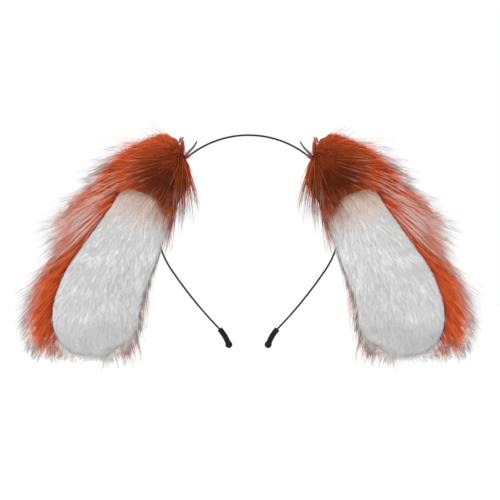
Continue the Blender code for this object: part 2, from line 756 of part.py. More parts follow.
def make_ear_wire(side):
    """The shaping wire round the pouch, inside the seam, with both its ends at the base."""
    stations = range(1, len(EAR_STATIONS) - 1)
    inner, outer = [], []
    for index in stations:
        middle, across, sizes = ear_section(index)
        for line, reach in ((inner, -(sizes[0] - WIRE_FROM_SEAM)), (outer, sizes[1] - WIRE_FROM_SEAM)):
            line.append(ear_place(side, middle, across, reach, SEAM_Y + WIRE_RADIUS))
    bottom = in_seam(side, ear_point(FACE_TIP) + Vector((0.0, WIRE_FROM_SEAM + 2 * MM)))
    bottom.y += WIRE_RADIUS
    points = inner + [bottom] + outer[::-1]
    return wire_curve(side + "_ear_wire", smooth_line(points, 3), WIRE_RADIUS, WIRE_STEEL, sides=6)


def smooth_line(points, steps):
    """A Catmull-Rom curve through the points."""
    padded = [2 * points[0] - points[1], *points, 2 * points[-1] - points[-2]]
    line = []
    for a, b, c, d in zip(padded, padded[1:], padded[2:], padded[3:]):
        for step in range(steps):
            t = step / steps
            line.append(
                0.5 * (2 * b + (c - a) * t + (2 * a - 5 * b + 4 * c - d) * t**2 + (3 * b - a - 3 * c + d) * t**3)
            )
    return line + [points[-1]]


clear_scene()
PARTS = new_collection("animal_ears_headband")
CUTTERS = new_collection("cutters")
STEEL_BLACK = new_material("black_coated_steel", (0.02, 0.02, 0.02), 0.35, 0.6)
RUBBER_BLACK = new_material("black_rubber", (0.015, 0.015, 0.015), 0.55)
STEEL_CLIP = new_material("black_clip_steel", (0.012, 0.012, 0.013), 0.3, 0.7)
STEEL_SPRING = new_material("bright_spring_steel", (0.5, 0.5, 0.52), 0.3, 1.0)
FELT_RUST = new_material("rust_felt", (0.42, 0.1, 0.04), 0.95)
FUR_RUST = new_material("rust_faux_fur", (0.4, 0.11, 0.03), 0.8)
PLUSH_WHITE = new_material("white_plush", (0.8, 0.8, 0.8), 0.9)
FILLING = new_material("white_fibre_filling", (0.85, 0.85, 0.83), 1.0)
WIRE_STEEL = new_material("galvanised_wire", (0.45, 0.45, 0.46), 0.45, 1.0)

make_band()
for ear_side in SIDES:
    make_tip(ear_side)
    clip = make_clip(ear_side)
    make_fur(ear_side, clip)
    make_plush(ear_side)
    make_filling(ear_side)
    make_ear_wire(ear_side)
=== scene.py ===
"""The looks of the animal ears headband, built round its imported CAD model."""

import math

import bpy
import numpy as np
from mathutils import Matrix, Vector
from mathutils.kdtree import KDTree


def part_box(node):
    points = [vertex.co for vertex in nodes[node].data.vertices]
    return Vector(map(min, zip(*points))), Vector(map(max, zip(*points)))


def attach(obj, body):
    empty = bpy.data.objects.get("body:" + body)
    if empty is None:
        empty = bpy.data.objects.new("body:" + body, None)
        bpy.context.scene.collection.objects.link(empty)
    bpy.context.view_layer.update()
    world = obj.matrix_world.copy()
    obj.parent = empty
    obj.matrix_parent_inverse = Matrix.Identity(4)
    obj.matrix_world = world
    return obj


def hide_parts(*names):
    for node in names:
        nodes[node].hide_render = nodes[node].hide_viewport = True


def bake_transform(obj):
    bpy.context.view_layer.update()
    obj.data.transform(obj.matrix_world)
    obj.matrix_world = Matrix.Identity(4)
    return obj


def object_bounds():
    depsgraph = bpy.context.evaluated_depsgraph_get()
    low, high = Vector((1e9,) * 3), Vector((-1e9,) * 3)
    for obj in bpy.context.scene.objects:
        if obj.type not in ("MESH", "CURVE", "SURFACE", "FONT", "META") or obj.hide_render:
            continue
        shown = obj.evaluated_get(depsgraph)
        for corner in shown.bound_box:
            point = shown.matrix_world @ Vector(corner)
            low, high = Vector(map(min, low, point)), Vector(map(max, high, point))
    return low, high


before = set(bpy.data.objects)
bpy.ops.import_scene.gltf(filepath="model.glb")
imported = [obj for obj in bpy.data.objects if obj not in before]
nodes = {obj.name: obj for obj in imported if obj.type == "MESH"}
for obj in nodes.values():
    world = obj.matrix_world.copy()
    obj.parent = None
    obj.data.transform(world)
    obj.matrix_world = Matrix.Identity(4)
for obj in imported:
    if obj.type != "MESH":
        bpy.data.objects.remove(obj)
cad_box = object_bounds()
MM = 0.001

# ---------------------------------------------------------------- studio
# A plain pale floor well under the headband, which a wearer's head would hold up, even white light from all
# round it, and a large soft lamp in front of it and above. The camera looks at it level, from straight in front.

scene = bpy.context.scene
scene.view_settings.view_transform = "Standard"

CAMERA_DISTANCE = 1.15
VIEW_WIDTH = 0.330
VIEW_CENTRE = Vector((0.001, 0.0, -0.0752))
camera_data = bpy.data.cameras.new("camera")
camera_data.lens = camera_data.sensor_width * CAMERA_DISTANCE / VIEW_WIDTH
camera_data.clip_start = 0.01
camera = bpy.data.objects.new("camera", camera_data)
camera.location = VIEW_CENTRE + Vector((0.0, -CAMERA_DISTANCE, 0.0))
camera.rotation_euler = (math.radians(90), 0.0, 0.0)
scene.collection.objects.link(camera)
scene.camera = camera

world = bpy.data.worlds.new("studio")
world.use_nodes = True
world.node_tree.nodes["Background"].inputs["Color"].default_value = (1.0, 1.0, 1.0, 1.0)
world.node_tree.nodes["Background"].inputs["Strength"].default_value = 1.0
scene.world = world

for name, place, size, power in (
    ("key lamp", (-0.55, -0.9, 0.75), 0.5, 9.0),
    ("top lamp", (0.3, 0.5, 0.9), 0.6, 5.0),
):
    lamp_data = bpy.data.lights.new(name, "AREA")
    lamp_data.size = size
    lamp_data.energy = power
    lamp = bpy.data.objects.new(name, lamp_data)
    lamp.location = place
    lamp.rotation_euler = (VIEW_CENTRE - Vector(place)).to_track_quat("-Z", "Y").to_euler()
    scene.collection.objects.link(lamp)

bpy.ops.mesh.primitive_plane_add(size=8.0, location=(0.0, 0.0, -0.245))
floor = bpy.context.object
floor.name = "floor"


# ---------------------------------------------------------------- finishes
# How every finish here is mixed: a Socket is one output in a material's nodes, which Python's operators combine.


class Socket:
    """One output of a shader node. Arithmetic on it adds Math nodes."""

    def __init__(self, finish, output):
        self.finish = finish
        self.output = output

    def combine(self, operation, *values):
        ports = {index: value for index, value in enumerate(values)}
        return self.finish.node("ShaderNodeMath", {"operation": operation}, ports)

    def __add__(self, other):
        return self.combine("ADD", self, other)

    def __radd__(self, other):
        return self.combine("ADD", other, self)

    def __sub__(self, other):
        return self.combine("SUBTRACT", self, other)

    def __rsub__(self, other):
        return self.combine("SUBTRACT", other, self)

    def __mul__(self, other):
        return self.combine("MULTIPLY", self, other)

    def __rmul__(self, other):
        return self.combine("MULTIPLY", other, self)

    def between(self, low, high):
        """0 below low, 1 above high, and a smooth step from one to the other."""
        settings = {"interpolation_type": "SMOOTHSTEP"}
        ports = {"Value": self, "From Min": low, "From Max": high}
        return self.finish.node("ShaderNodeMapRange", settings, ports)


class Finish:
    """A Principled material, with its constants on the shader's own sockets."""

    def __init__(self, name, roughness=0.5, metallic=0.0, **constants):
        self.material = bpy.data.materials.new(name)
        self.material.use_nodes = True
        self.nodes = self.material.node_tree.nodes
        self.shader = self.nodes["Principled BSDF"]
        self.shader.inputs["Roughness"].default_value = roughness
        self.shader.inputs["Metallic"].default_value = metallic
        for key, value in constants.items():
            self.shader.inputs[key.replace("_", " ")].default_value = value

    def join(self, value, port):
        if isinstance(value, Socket):
            self.material.node_tree.links.new(value.output, port)
        elif isinstance(value, tuple) and len(value) == 3 and port.type == "RGBA":
            port.default_value = (*value, 1.0)
        else:
            port.default_value = value

    def node(self, kind, settings=None, ports=None, output=0):
        node = self.nodes.new(kind)
        for key, value in (settings or {}).items():
            setattr(node, key, value)
        for key, value in (ports or {}).items():
            self.join(value, node.inputs[key])
        return Socket(self, node.outputs[output])

    def place(self):
        return self.node("ShaderNodeTexCoord", output="Object")

    def noise(self, scale, detail=3.0, vector=None, roughness=0.5):
        ports = {"Vector": vector or self.place(), "Scale": scale, "Detail": detail, "Roughness": roughness}
        return self.node("ShaderNodeTexNoise", ports=ports, output="Fac")

    def mix(self, factor, one, other):
        ports = {"Factor": factor, "A": one, "B": other}
        mixed = self.nodes.new("ShaderNodeMix")
        mixed.data_type = "RGBA"
        colours = [port for port in mixed.inputs if port.type == "RGBA"]
        self.join(ports["Factor"], mixed.inputs[0])
        self.join(ports["A"], colours[0])
        self.join(ports["B"], colours[1])
        return Socket(self, [port for port in mixed.outputs if port.type == "RGBA"][0])

    def bump(self, height, distance, strength=1.0):
        ports = {"Height": height, "Distance": distance, "Strength": strength}
        return self.node("ShaderNodeBump", ports=ports, output="Normal")

    def feed(self, **values):
        """What varies over the surface goes to the shader: Base_Color, Roughness, Normal and the like."""
        for key, value in values.items():
            self.join(value, self.shader.inputs[key.replace("_", " ")])

    def coat(self, *objects):
        for obj in objects:
            obj.data.materials.clear()
            obj.data.materials.append(self.material)


floor_paint = Finish("pale_floor", roughness=0.9, Emission_Color=(1.0, 1.0, 1.0, 1.0), Emission_Strength=0.12)
floor_paint.feed(Base_Color=floor_paint.mix(floor_paint.noise(9.0), (0.93, 0.93, 0.93), (0.95, 0.95, 0.95)))
floor_paint.coat(floor)

# ---------------------------------------------------------------- headband
# One strip of spring steel, rolled edges, bent to an open horseshoe and dipped in a thin satin black lacquer,
# which is a little uneven and has worn to a shine where hands open the band.

lacquer = Finish(
    "black_lacquered_steel", roughness=0.4, Specular_IOR_Level=0.12, Coat_Weight=0.02, Coat_Roughness=0.3,
)
mottle = lacquer.noise(900.0, 5.0)
wear = lacquer.noise(60.0, 4.0).between(0.5, 0.75)
lacquer.feed(
    Base_Color=lacquer.mix(wear, (0.006, 0.006, 0.006), (0.018, 0.018, 0.018)),
    Roughness=0.3 + 0.18 * mottle,
    Normal=lacquer.bump(mottle, 0.00003, 0.5),
)
lacquer.coat(nodes["headband"])

# ---------------------------------------------------------------- end tips
# A moulded black rubber sleeve with a ball end, pushed over each end of the strip.

tip_rubber = Finish("black_tip_rubber", roughness=0.5, Specular_IOR_Level=0.1)
grain = tip_rubber.noise(1400.0, 6.0)
tip_rubber.feed(
    Base_Color=tip_rubber.mix(tip_rubber.noise(180.0), (0.004, 0.004, 0.004), (0.009, 0.009, 0.009)),
    Roughness=0.42 + 0.2 * grain,
    Normal=tip_rubber.bump(grain, 0.00004, 0.6),
)
tip_rubber.coat(nodes["left_end_tip"], nodes["right_end_tip"])

# ---------------------------------------------------------------- clips
# Alligator clips of pressed sheet steel, blacked and oiled, on a headed pin, with a bright torsion spring.

blacking = Finish("blacked_clip_steel", roughness=0.35, metallic=0.3, Specular_IOR_Level=0.3)
rub = blacking.noise(260.0, 5.0)
blacking.feed(
    Base_Color=blacking.mix(rub.between(0.55, 0.8), (0.008, 0.008, 0.008), (0.04, 0.04, 0.042)),
    Roughness=0.24 + 0.25 * rub,
    Normal=blacking.bump(blacking.noise(2200.0, 3.0), 0.00002, 0.4),
)
spring_bright = Finish("bright_spring_wire", roughness=0.28, metallic=1.0)
draw_lines = spring_bright.noise(1900.0, 2.0)
spring_bright.feed(
    Base_Color=spring_bright.mix(draw_lines, (0.42, 0.42, 0.44), (0.6, 0.6, 0.62)),
    Roughness=0.22 + 0.16 * draw_lines,
)
for side, outward in (("left", Vector((-0.883, 0.0, 0.469))), ("right", Vector((0.883, 0.0, 0.469)))):
    blacking.coat(nodes[side + "_clip_outer_arm"], nodes[side + "_clip_inner_arm"], nodes[side + "_clip_pin"])
    coil = bpy.data.objects.new(side + "_spring_coil", nodes[side + "_clip_spring"].data.copy())
    scene.collection.objects.link(coil)
    spring_bright.coat(coil)
    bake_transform(coil)
    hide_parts(side + "_clip_spring")

# ---------------------------------------------------------------- felts
# Thick rust-brown wool felt: a pad sewn to each clip's outer arm, which carries the ear, and a strip glued over
# the clip's outer handle. Its matted fibres lie every way.

felt = Finish("rust_wool_felt", roughness=0.95, Sheen_Weight=0.4, Sheen_Roughness=0.5)
fibres = felt.noise(1500.0, 8.0, roughness=0.7)
felt.feed(
    Base_Color=felt.mix(fibres.between(0.3, 0.7), (0.14, 0.032, 0.012), (0.30, 0.085, 0.035)),
    Normal=felt.bump(fibres, 0.0004, 0.8),
)
for side in ("left", "right"):
    felt.coat(nodes[side + "_ear_base_felt"], nodes[side + "_handle_felt"])

# ---------------------------------------------------------------- inside the ears
# A flat wad of polyester fibre between the white face and the fur's backing, and round its edge a loop of
# galvanised wire that keeps the ear's outline.

wad = Finish("polyester_filling", roughness=0.9)
crimp = wad.noise(700.0, 8.0, roughness=0.7)
wad.feed(
    Base_Color=wad.mix(crimp, (0.62, 0.62, 0.6), (0.85, 0.85, 0.84)),
    Normal=wad.bump(crimp, 0.0008, 0.9),
)
zinc = Finish("galvanised_wire", roughness=0.38, metallic=1.0)
spangle = zinc.noise(800.0, 2.0)
zinc.feed(Base_Color=zinc.mix(spangle, (0.40, 0.41, 0.43), (0.6, 0.61, 0.62)), Roughness=0.3 + 0.2 * spangle)
for side in ("left", "right"):
    wad.coat(nodes[side + "_ear_filling"])
    zinc.coat(nodes[side + "_ear_wire"])

# ---------------------------------------------------------------- ear skins
# The woven backing that the long fur is knitted into, cut and sewn as a flat pouch that the white face closes.
# All of it is under the hair. It is made for the ear on +X, and the ear on -X is its mirror image.

ear_low, ear_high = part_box("right_ear_fur")
face_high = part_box("right_ear_plush")[1]
clip_pin = Vector((sum(axis) / 2 for axis in zip(*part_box("right_clip_pin"))))
SEAM_Y = face_high[1] + 0.3 * MM

# How far each row lies out and down from the corner of the fur's box nearest to the crown, how far the white face
# reaches towards the head and away from it, how far the fur does, and its depth before and behind the seam.
EAR_ROWS = MM * np.array([
    (8.8, -0.3, 0, 0, 0, 0, 0, 0),
    (10.3, 3.2, 3, 3, 7, 8, 5, 12),
    (13.8, 11.2, 7, 7, 15.5, 17, 8.5, 22),
    (19.3, 23.2, 13, 11, 22, 28, 10, 28),
    (26.8, 39.2, 19.5, 15.5, 26, 33.5, 8, 29),
    (35.3, 57.2, 22.5, 18.5, 26.5, 40, 5, 29),
    (45.3, 77.2, 25, 22, 28, 40, 4, 28),
    (53.8, 97.2, 26.3, 27, 29, 39.5, 3.8, 27),
    (59.3, 117.2, 27.8, 29, 30.5, 42, 3.8, 24),
    (60.8, 132.2, 23.5, 24.5, 26.5, 36, 3.6, 20),
    (60.6, 141.7, 11, 11.5, 15, 19, 3.2, 14),
    (60.8, 147.2, 0, 0, 0, 0, 0, 0),
])
EAR_LAST = len(EAR_ROWS) - 1


def ear_row(t):
    """The row at t, a row's number with a fraction, on a smooth curve through all of them."""
    t = np.asarray(t, float)
    index = np.clip(np.floor(t).astype(int), 0, EAR_LAST - 1)
    share = (t - index)[..., None]
    ends = np.vstack([2 * EAR_ROWS[0] - EAR_ROWS[1], EAR_ROWS, 2 * EAR_ROWS[-1] - EAR_ROWS[-2]])
    a, b, c, d = (ends[index + step] for step in range(4))
    row = b + 0.5 * share * (c - a + share * (2 * a - 5 * b + 4 * c - d + share * (3 * (b - c) + d - a)))
    row[..., 2:] = np.maximum(row[..., 2:], 0.0)
    return row


def ear_directions(t):
    """Down the ear and across it away from the head, as (out, down) pairs."""
    step = ear_row(np.clip(t + 0.04, 0, EAR_LAST)) - ear_row(np.clip(t - 0.04, 0, EAR_LAST))
    along = step[..., :2] / np.linalg.norm(step[..., :2], axis=-1, keepdims=True)
    return along, np.stack([along[..., 1], -along[..., 0]], axis=-1)


def ear_place(t, lateral, y):
    """World points from the row, the distance across it from its middle line, and y."""
    _, across = ear_directions(t)
    flat = ear_row(t)[..., :2] + across * lateral[..., None]
    return np.stack([ear_low[0] + flat[..., 0], y, ear_high[2] - flat[..., 1]], axis=-1)


def ramp(value, low, high):
    share = np.clip((value - low) / (high - low), 0.0, 1.0)
    return share * share * (3 - 2 * share)


def unit(vectors):
    return vectors / np.maximum(np.linalg.norm(vectors, axis=-1, keepdims=True), 1e-12)


SHOULDER = np.array([0.0047168, -0.0569])
BAND_OUTSIDE = 0.05645


def channel_depth(points):
    """How far points are inside the room round the band, along which an ear slides, or negative outside it."""
    away = np.linalg.norm(points[..., [0, 2]] - SHOULDER, axis=-1)
    return BAND_OUTSIDE + 1.9 * MM - away


CLIP_FRAME = np.array([
    (0.446494, -0.309017, -0.839733),
    (0.882948, 0.0, 0.469472),
    (-0.145075, -0.951056, 0.272846),
])


def in_clip_frame(points):
    return (points - np.array(clip_pin)) @ CLIP_FRAME.T


def skin_points(t, angle):
    """The backing at a row and an angle round it: 0 is the side away from the head, and a quarter turn the back."""
    row = ear_row(t)
    cosine, sine = np.cos(angle), np.sin(angle)
    spare_in = np.maximum(row[..., 4] - row[..., 2], 0.0)
    spare_out = np.maximum(row[..., 5] - row[..., 3], 0.0)
    below_cap = ramp(t, 3.4, 4.8)
    bottom = ramp(t, 9.0, 10.0)
    share_in = 0.75 * (1 - ramp(t, 2.4, 3.8))
    share_out = 0.35 + 0.15 * ramp(t, 3.5, 5.0) - 0.25 * ramp(t, 5.0, 6.5)
    reach_in = np.maximum(row[..., 2] + share_in * spare_in - 2 * MM * below_cap, 0.0)
    reach_out = row[..., 3] + share_out * (1 - bottom) * spare_out - 2 * MM * bottom
    front = row[..., 6] * (0.6 - 0.45 * ramp(t, 3.5, 4.5))
    back = row[..., 7] * 0.6 * (0.34 + 0.66 * ((1 + cosine) / 2) ** 0.7)
    lateral = (reach_out - reach_in) / 2 + (reach_out + reach_in) / 2 * cosine
    points = ear_place(t, lateral, SEAM_Y + np.where(sine < 0, front, back) * sine)
    inside = (channel_depth(points) > 0) & (points[..., 1] > -3.2 * MM)
    points[..., 1] = np.where(inside, -3.2 * MM, points[..., 1])
    local = in_clip_frame(points)
    near = (local[..., 0] > -15 * MM) & (local[..., 0] < 27 * MM) & (np.abs(local[..., 2]) < 7.4 * MM)
    lift = np.where(near & (local[..., 1] > -12 * MM), np.maximum(6.2 * MM - local[..., 1], 0.0), 0.0)
    return points + lift[..., None] * CLIP_FRAME[1]


def ear_grid(rows, columns, start, end):
    """Row numbers and angles of a grid that goes round an ear, with its rows crowded near both ends."""
    share = (1 - np.cos(np.linspace(0, math.pi, rows))) / 2
    t = start + (end - start) * (0.35 * share + 0.65 * np.linspace(0, 1, rows))
    angle = np.linspace(0, 2 * math.pi, columns, endpoint=False)
    return np.meshgrid(t, angle, indexing="ij")


def mesh_piece(name, side, points, faces, body):
    """A piece of an ear from points for the ear on +X. The other ear gets its mirror image, faces turned back."""
    if side == "left":
        points = points * np.array([-1.0, 1.0, 1.0])
        faces = [tuple(reversed(face)) for face in faces]
    mesh = bpy.data.meshes.new(name)
    mesh.from_pydata(points.tolist(), [], faces)
    mesh.validate()
    mesh.shade_smooth()
    piece = bpy.data.objects.new(name, mesh)
    scene.collection.objects.link(piece)
    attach(piece, body)
    return piece


SKIN_ROWS, SKIN_COLUMNS = 90, 72
skin_t, skin_angle = ear_grid(SKIN_ROWS, SKIN_COLUMNS, 0.6, 10.35)
skin_grid = skin_points(skin_t, skin_angle)
skin_faces = []
for row in range(SKIN_ROWS - 1):
    for column in range(SKIN_COLUMNS):
        one, two = row * SKIN_COLUMNS + column, row * SKIN_COLUMNS + (column + 1) % SKIN_COLUMNS
        skin_faces.append((one, one + SKIN_COLUMNS, two + SKIN_COLUMNS, two))
skin_faces.append(tuple(range(SKIN_COLUMNS)))
skin_faces.append(tuple((SKIN_ROWS - 1) * SKIN_COLUMNS + column for column in reversed(range(SKIN_COLUMNS))))

backing = Finish("fur_backing", roughness=0.95)
knit = backing.noise(900.0, 6.0)
backing.feed(
    Base_Color=backing.mix(knit, (0.11, 0.025, 0.008), (0.22, 0.055, 0.018)),
    Normal=backing.bump(knit, 0.0006, 0.8),
)
for side in ("left", "right"):
    skin = mesh_piece(
        side + "_ear_skin", side, skin_grid.reshape(-1, 3), skin_faces, side + "_ear",
    )
    backing.coat(skin)
    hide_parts(side + "_ear_fur")

# ---------------------------------------------------------------- white faces
# Short-pile white plush, sewn in round its edge and puffed by the filling, with a few soft dents. Its top runs
# up under the fur of the cap.


def face_points(t, across_share, lift=0.0):
    """The plush's surface at a row and a share from -1, its edge nearest to the head, to 1."""
    row = ear_row(np.minimum(t, 10.0))
    rounding = np.sqrt(np.maximum(1 - (np.maximum(t - 10.0, 0.0) / 0.62) ** 2, 0.0))
    half = (row[..., 3] + row[..., 2]) / 2 * rounding
    lateral = ((row[..., 3] - row[..., 2]) / 2 - 0.8 * MM) * rounding + half * across_share
    bulge = 5.2 * MM * np.minimum(1.0, half / (14 * MM)) * (0.25 + 0.75 * ramp(t, 3.4, 4.6))
    crown = np.sqrt(np.maximum(1 - across_share ** 2, 0.0)) ** 0.8
    dents = 0.35 * np.sin(2.1 * t + 1.3 * across_share) + 0.3 * np.sin(3.7 * t - 2.9 * across_share + 1.0)
    crease = 0.9 * np.exp(-((t - 6.15 - 0.35 * across_share) / 0.22) ** 2) * ramp(across_share, -0.2, 0.7)
    y = SEAM_Y + 0.4 * MM - crown * (bulge + (dents - crease) * MM * ramp(bulge, 2 * MM, 4 * MM) + lift)
    return ear_place(t, lateral, y)


FACE_ROWS, FACE_COLUMNS = 80, 49
face_t, face_share = np.meshgrid(
    10.615 - 7.265 * np.linspace(1.0, 0.0, FACE_ROWS) ** 1.25,
    -np.cos(np.linspace(0, math.pi, FACE_COLUMNS)),
    indexing="ij",
)
face_front = face_points(face_t, face_share)
face_behind = face_front.copy()
face_behind[..., 1] = np.maximum(face_front[..., 1] + 1.4 * MM, SEAM_Y + 0.9 * MM)
face_all = np.concatenate([face_front.reshape(-1, 3), face_behind.reshape(-1, 3)])
face_faces = []
back_of = FACE_ROWS * FACE_COLUMNS
for row in range(FACE_ROWS - 1):
    for column in range(FACE_COLUMNS - 1):
        one = row * FACE_COLUMNS + column
        quad = (one, one + FACE_COLUMNS, one + FACE_COLUMNS + 1, one + 1)
        face_faces.append(quad)
        face_faces.append(tuple(back_of + corner for corner in reversed(quad)))
rim = [column for column in range(FACE_COLUMNS)]
rim += [row * FACE_COLUMNS + FACE_COLUMNS - 1 for row in range(1, FACE_ROWS)]
rim += [(FACE_ROWS - 1) * FACE_COLUMNS + column for column in range(FACE_COLUMNS - 2, -1, -1)]
rim += [row * FACE_COLUMNS for row in range(FACE_ROWS - 2, 0, -1)]
for one, two in zip(rim, rim[1:] + rim[:1]):
    face_faces.append((one, two, back_of + two, back_of + one))

plush = Finish("white_plush", roughness=0.95, Sheen_Weight=0.3)
nap = plush.noise(1300.0, 6.0)
height = plush.node("ShaderNodeSeparateXYZ", ports={"Vector": plush.place()}, output="Z")
# Painted reflected light: the white face turns peach towards its top, as if lit by the orange fur of the cap above
# it.
painted_cap_reflection = height.between(ear_high[2] - 0.066, ear_high[2] - 0.036)
plush.feed(
    Base_Color=plush.mix(painted_cap_reflection, plush.mix(nap, (0.67, 0.67, 0.67), (0.73, 0.73, 0.73)), (0.62, 0.40, 0.31)),
    Normal=plush.bump(nap, 0.0005, 0.7),
)
for side in ("left", "right"):
    face = mesh_piece(side + "_ear_face", side, face_all, face_faces, side + "_ear")
    plush.coat(face)
    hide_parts(side + "_ear_plush")

# ---------------------------------------------------------------- hair
# Every hair is a closed tapered tube that follows a curve from its root. Its colour runs from root to tip along
# its own UV map's V, and its tone is the map's U, so that one finish colours all the hairs of one kind. On the fur
# that tone also carries painted shade near the clip.


def hair_paths(roots, start, flow, length, steps):
    """Points down each hair, which leaves its root along start and bends over to flow."""
    s = np.linspace(0.0, 1.0, steps + 1)[None, :, None]
    knee = roots + start * (0.45 * length)[:, None]
    tips = knee + flow * (0.55 * length)[:, None]
    return (1 - s) ** 2 * roots[:, None] + 2 * s * (1 - s) * knee[:, None] + s ** 2 * tips[:, None]


def clump(paths, centres, pull, power=1.3):
    """Hairs lean together towards the nearest of the centre hairs, more and more towards their tips."""
    tree = KDTree(len(centres))
    for index, number in enumerate(centres):
        tree.insert(paths[number, 0], index)
    tree.balance()
    nearest = np.array([centres[tree.find(root)[1]] for root in paths[:, 0]])
    s = np.linspace(0.0, 1.0, paths.shape[1])[None, :, None]
    return paths + (paths[nearest] - paths) * (pull[:, None, None] * s ** power)


def hair_piece(name, side, paths, widths, tones, body, node_slot, finish, node=None):
    """One object of many hairs. widths are each hair's at its root and near its tip."""
    if side == "left":
        paths = paths * np.array([-1.0, 1.0, 1.0])
    count, steps = paths.shape[0], paths.shape[1] - 1
    tangents = unit(np.gradient(paths, axis=1))
    turn = unit(np.random.default_rng(len(paths)).normal(size=(count, 1, 3)))
    sideways = unit(np.cross(tangents, turn))
    upward = np.cross(tangents, sideways)
    s = np.linspace(0.0, 1.0, steps + 1)
    radius = (widths[:, :1] + (widths[:, 1:] - widths[:, :1]) * s[None, :] ** 1.4) / 2
    rings = []
    for corner in range(3):
        angle = corner * math.tau / 3
        rings.append(
            paths + radius[..., None] * (math.cos(angle) * sideways + math.sin(angle) * upward)
        )
    tube = np.stack(rings, axis=2)[:, :steps].reshape(count, -1, 3)
    points = np.concatenate([tube, paths[:, -1:]], axis=1)
    corners, starts, along, around = [], [], [], []
    for ring in range(steps - 1):
        for corner in range(3):
            one, two = ring * 3 + corner, ring * 3 + (corner + 1) % 3
            starts.append(len(corners))
            corners += [one, two, two + 3, one + 3]
            along += [ring, ring, ring + 1, ring + 1]
            around += [corner, corner + 1, corner + 1, corner]
    for corner in range(3):
        starts.append(len(corners))
        corners += [(steps - 1) * 3 + corner, (steps - 1) * 3 + (corner + 1) % 3, steps * 3]
        along += [steps - 1, steps - 1, steps]
        around += [corner, corner + 1, corner + 0.5]
    starts.append(len(corners))
    corners += [2, 1, 0]
    along += [0, 0, 0]
    around += [2, 1, 0]
    per_hair = steps * 3 + 1
    vertex = (np.array(corners)[None] + per_hair * np.arange(count)[:, None]).ravel()
    begin = (np.array(starts)[None] + len(corners) * np.arange(count)[:, None]).ravel()
    mesh = bpy.data.meshes.new(name)
    mesh.vertices.add(count * per_hair)
    mesh.vertices.foreach_set("co", points.astype(np.float32).ravel())
    mesh.loops.add(len(vertex))
    mesh.loops.foreach_set("vertex_index", vertex.astype(np.int32))
    mesh.polygons.add(len(begin))
    mesh.polygons.foreach_set("loop_start", begin.astype(np.int32))
    mesh.update(calc_edges=True)
    u = tones[:, None] * 0.97 + 0.01 + np.array(around)[None] / 768
    v = np.broadcast_to(0.02 + 0.96 * np.array(along)[None] / steps, u.shape)
    layer = mesh.uv_layers.new(name="OFBake")
    layer.uv.foreach_set("vector", np.stack([u, v], axis=-1).astype(np.float32).ravel())
    mesh.shade_smooth()
    hairs = bpy.data.objects.new(name, mesh)
    scene.collection.objects.link(hairs)
    finish.coat(hairs)
    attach(hairs, body)
    return hairs


def hair_finish(name, stops, darkest, lightest, roughness):
    """A finish whose colour goes through stops from root to tip, darker or lighter with each hair's tone, which on
    the fur also holds painted shade near the clip.
    """
    finish = Finish(name, roughness=roughness, Specular_IOR_Level=0.15)
    uv = finish.node("ShaderNodeUVMap", {"uv_map": "OFBake"})
    tone_and_shade = finish.node("ShaderNodeSeparateXYZ", ports={"Vector": uv}, output="X")
    down = finish.node("ShaderNodeSeparateXYZ", ports={"Vector": uv}, output="Y")
    colour = stops[0][1]
    for (start, _), (end, following) in zip(stops, stops[1:]):
        colour = finish.mix(down.between(start, end), colour, following)
    grey = finish.node("ShaderNodeCombineColor", ports={
        index: darkest + (lightest - darkest) * tone_and_shade for index in range(3)
    })
    product = finish.nodes.new("ShaderNodeMix")
    product.data_type = "RGBA"
    product.blend_type = "MULTIPLY"
    product.inputs[0].default_value = 1.0
    colours = [port for port in product.inputs if port.type == "RGBA"]
    finish.join(colour, colours[0])
    finish.join(grey, colours[1])
    finish.feed(Base_Color=Socket(finish, [port for port in product.outputs if port.type == "RGBA"][0]))
    return finish


FLOW_CENTRE = np.array([2.5, 13.9]) * MM
triangle_corners = []
for row in range(SKIN_ROWS - 1):
    for column in range(SKIN_COLUMNS):
        one, two = row * SKIN_COLUMNS + column, row * SKIN_COLUMNS + (column + 1) % SKIN_COLUMNS
        triangle_corners += [(one, two + SKIN_COLUMNS, two), (one, one + SKIN_COLUMNS, two + SKIN_COLUMNS)]
skin_triangles = np.array(triangle_corners)
skin_flat = skin_grid.reshape(-1, 3)
skin_normals = np.cross(
    skin_flat[skin_triangles[:, 1]] - skin_flat[skin_triangles[:, 0]],
    skin_flat[skin_triangles[:, 2]] - skin_flat[skin_triangles[:, 0]],
)
skin_areas = np.linalg.norm(skin_normals, axis=1)
grid_t = np.repeat(skin_t[:, 0], SKIN_COLUMNS)


def hair_roots(count, rng, weight):
    """Places on the ear's backing, spread by area times weight(t, angle, points), with their rows and normals."""
    middles = skin_flat[skin_triangles].mean(axis=1)
    t = grid_t[skin_triangles].mean(axis=1)
    first = skin_triangles[:, 0] % SKIN_COLUMNS
    angle = (first + 0.5) * math.tau / SKIN_COLUMNS
    share = skin_areas * weight(t, angle, middles)
    picked = rng.choice(len(share), size=count, p=share / share.sum())
    a, b = rng.random((2, count))
    over = a + b > 1
    a, b = np.where(over, 1 - a, a), np.where(over, 1 - b, b)
    corner = skin_flat[skin_triangles[picked]]
    sides = corner[:, 1] - corner[:, 0], corner[:, 2] - corner[:, 0]
    roots = corner[:, 0] + a[:, None] * sides[0] + b[:, None] * sides[1]
    rows = grid_t[skin_triangles[picked]]
    rows = rows[:, 0] + a * (rows[:, 1] - rows[:, 0]) + b * (rows[:, 2] - rows[:, 0])
    return roots, unit(skin_normals[picked]), rows, angle[picked]


